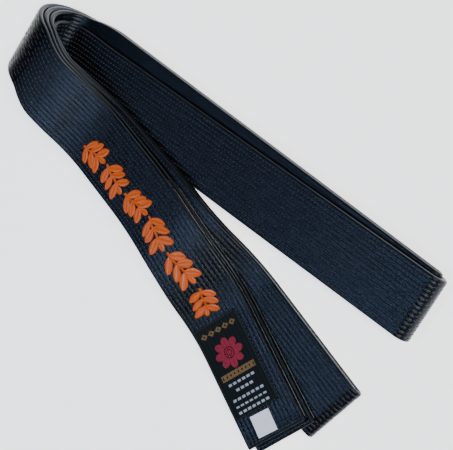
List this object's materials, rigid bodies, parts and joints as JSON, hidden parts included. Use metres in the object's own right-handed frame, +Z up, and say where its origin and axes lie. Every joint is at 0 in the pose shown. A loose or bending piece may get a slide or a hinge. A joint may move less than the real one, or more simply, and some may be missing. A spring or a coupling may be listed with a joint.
{
  "type": "martial arts belt",
  "caption": "Black satin martial arts belt, quilted lengthwise, folded into a thick V with its embroidered and labelled end on top.",
  "frame": {"origin": "middle of the underside of the bounding box, on the table the belt lies on", "axes": "+X along the V from its turn towards its open ends, +Y towards the lower arm, +Z up"},
  "size_m": [0.3392, 0.1674, 0.0528],
  "materials": {
    "black_satin": "satin weave",
    "cotton_core": "matte cotton",
    "black_thread": "polyester thread",
    "embroidery_thread": "glossy rayon thread",
    "woven_label": "fine damask weave",
    "label_thread": "thread",
    "red_thread": "woven thread",
    "gold_thread": "woven metallic thread",
    "white_thread": "woven thread",
    "sticker": "coated paper"
  },
  "bodies": {
    "lower_arm": {"lower_arm_inner_ply_core": "cotton_core", "lower_arm_inner_ply_cover": "black_satin", "lower_arm_label_ply_core": "cotton_core", "lower_arm_label_ply_cover": "black_satin", "lower_arm_middle_ply_core": "cotton_core", "lower_arm_middle_ply_cover": "black_satin", "lower_arm_plain_ply_core": "cotton_core", "lower_arm_plain_ply_cover": "black_satin", "lower_arm_stitch_rows": "black_thread", "lower_inner_fold_core": "cotton_core", "lower_inner_fold_cover": "black_satin", "lower_outer_fold_core": "cotton_core", "lower_outer_fold_cover": "black_satin", "turn_inner_ply_core": "cotton_core", "turn_inner_ply_cover": "black_satin", "turn_label_ply_core": "cotton_core", "turn_label_ply_cover": "black_satin", "turn_middle_ply_core": "cotton_core", "turn_middle_ply_cover": "black_satin", "turn_plain_ply_core": "cotton_core", "turn_plain_ply_cover": "black_satin"},
    "upper_arm": {"label_end_root_core": "cotton_core", "label_end_root_cover": "black_satin", "plain_end_root_core": "cotton_core", "plain_end_root_cover": "black_satin", "upper_arm_inner_ply_core": "cotton_core", "upper_arm_inner_ply_cover": "black_satin", "upper_arm_middle_ply_core": "cotton_core", "upper_arm_middle_ply_cover": "black_satin", "upper_arm_stitch_rows": "black_thread", "upper_fold_core": "cotton_core", "upper_fold_cover": "black_satin"},
    "label_end": {"label_border_stitching": "label_thread", "label_dash_rows": "white_thread", "label_diamond_row": "gold_thread", "label_end_core": "cotton_core", "label_end_cover": "black_satin", "label_end_hem_stitches": "black_thread", "label_end_stitch_rows": "black_thread", "label_gold_band": "gold_thread", "label_rosette": "red_thread", "leaf_sprig_1": "embroidery_thread", "leaf_sprig_2": "embroidery_thread", "leaf_sprig_3": "embroidery_thread", "leaf_sprig_4": "embroidery_thread", "leaf_sprig_5": "embroidery_thread", "leaf_sprig_6": "embroidery_thread", "paper_sticker": "sticker", "woven_label": "woven_label"},
    "plain_end": {"plain_end_core": "cotton_core", "plain_end_cover": "black_satin", "plain_end_hem_stitches": "black_thread"}
  },
  "joints": [
    {"name": "fold_open", "type": "hinge", "parent": "lower_arm", "child": "upper_arm", "pos_m": [-0.14324, 0, 0.0264], "axis": [0, -1, 0], "range_deg": [0, 60], "deforming": ["turn_inner_ply_core", "turn_inner_ply_cover", "turn_label_ply_core", "turn_label_ply_cover", "turn_middle_ply_core", "turn_middle_ply_cover", "turn_plain_ply_core", "turn_plain_ply_cover"]},
    {"name": "label_end_lift", "type": "hinge", "parent": "upper_arm", "child": "label_end", "pos_m": [-0.09484, 0, 0.0384], "axis": [0, -1, 0], "range_deg": [0, 60], "deforming": ["label_end_root_core", "label_end_root_cover"]},
    {"name": "plain_end_lift", "type": "hinge", "parent": "upper_arm", "child": "plain_end", "pos_m": [-0.09684, 0, 0.0344], "axis": [0, -1, 0], "range_deg": [0, 30], "deforming": ["plain_end_root_core", "plain_end_root_cover"]}
  ],
  "couplings": [
    {"joint": "plain_end_lift", "follows": "label_end_lift", "ratio": 0.5}
  ]
}
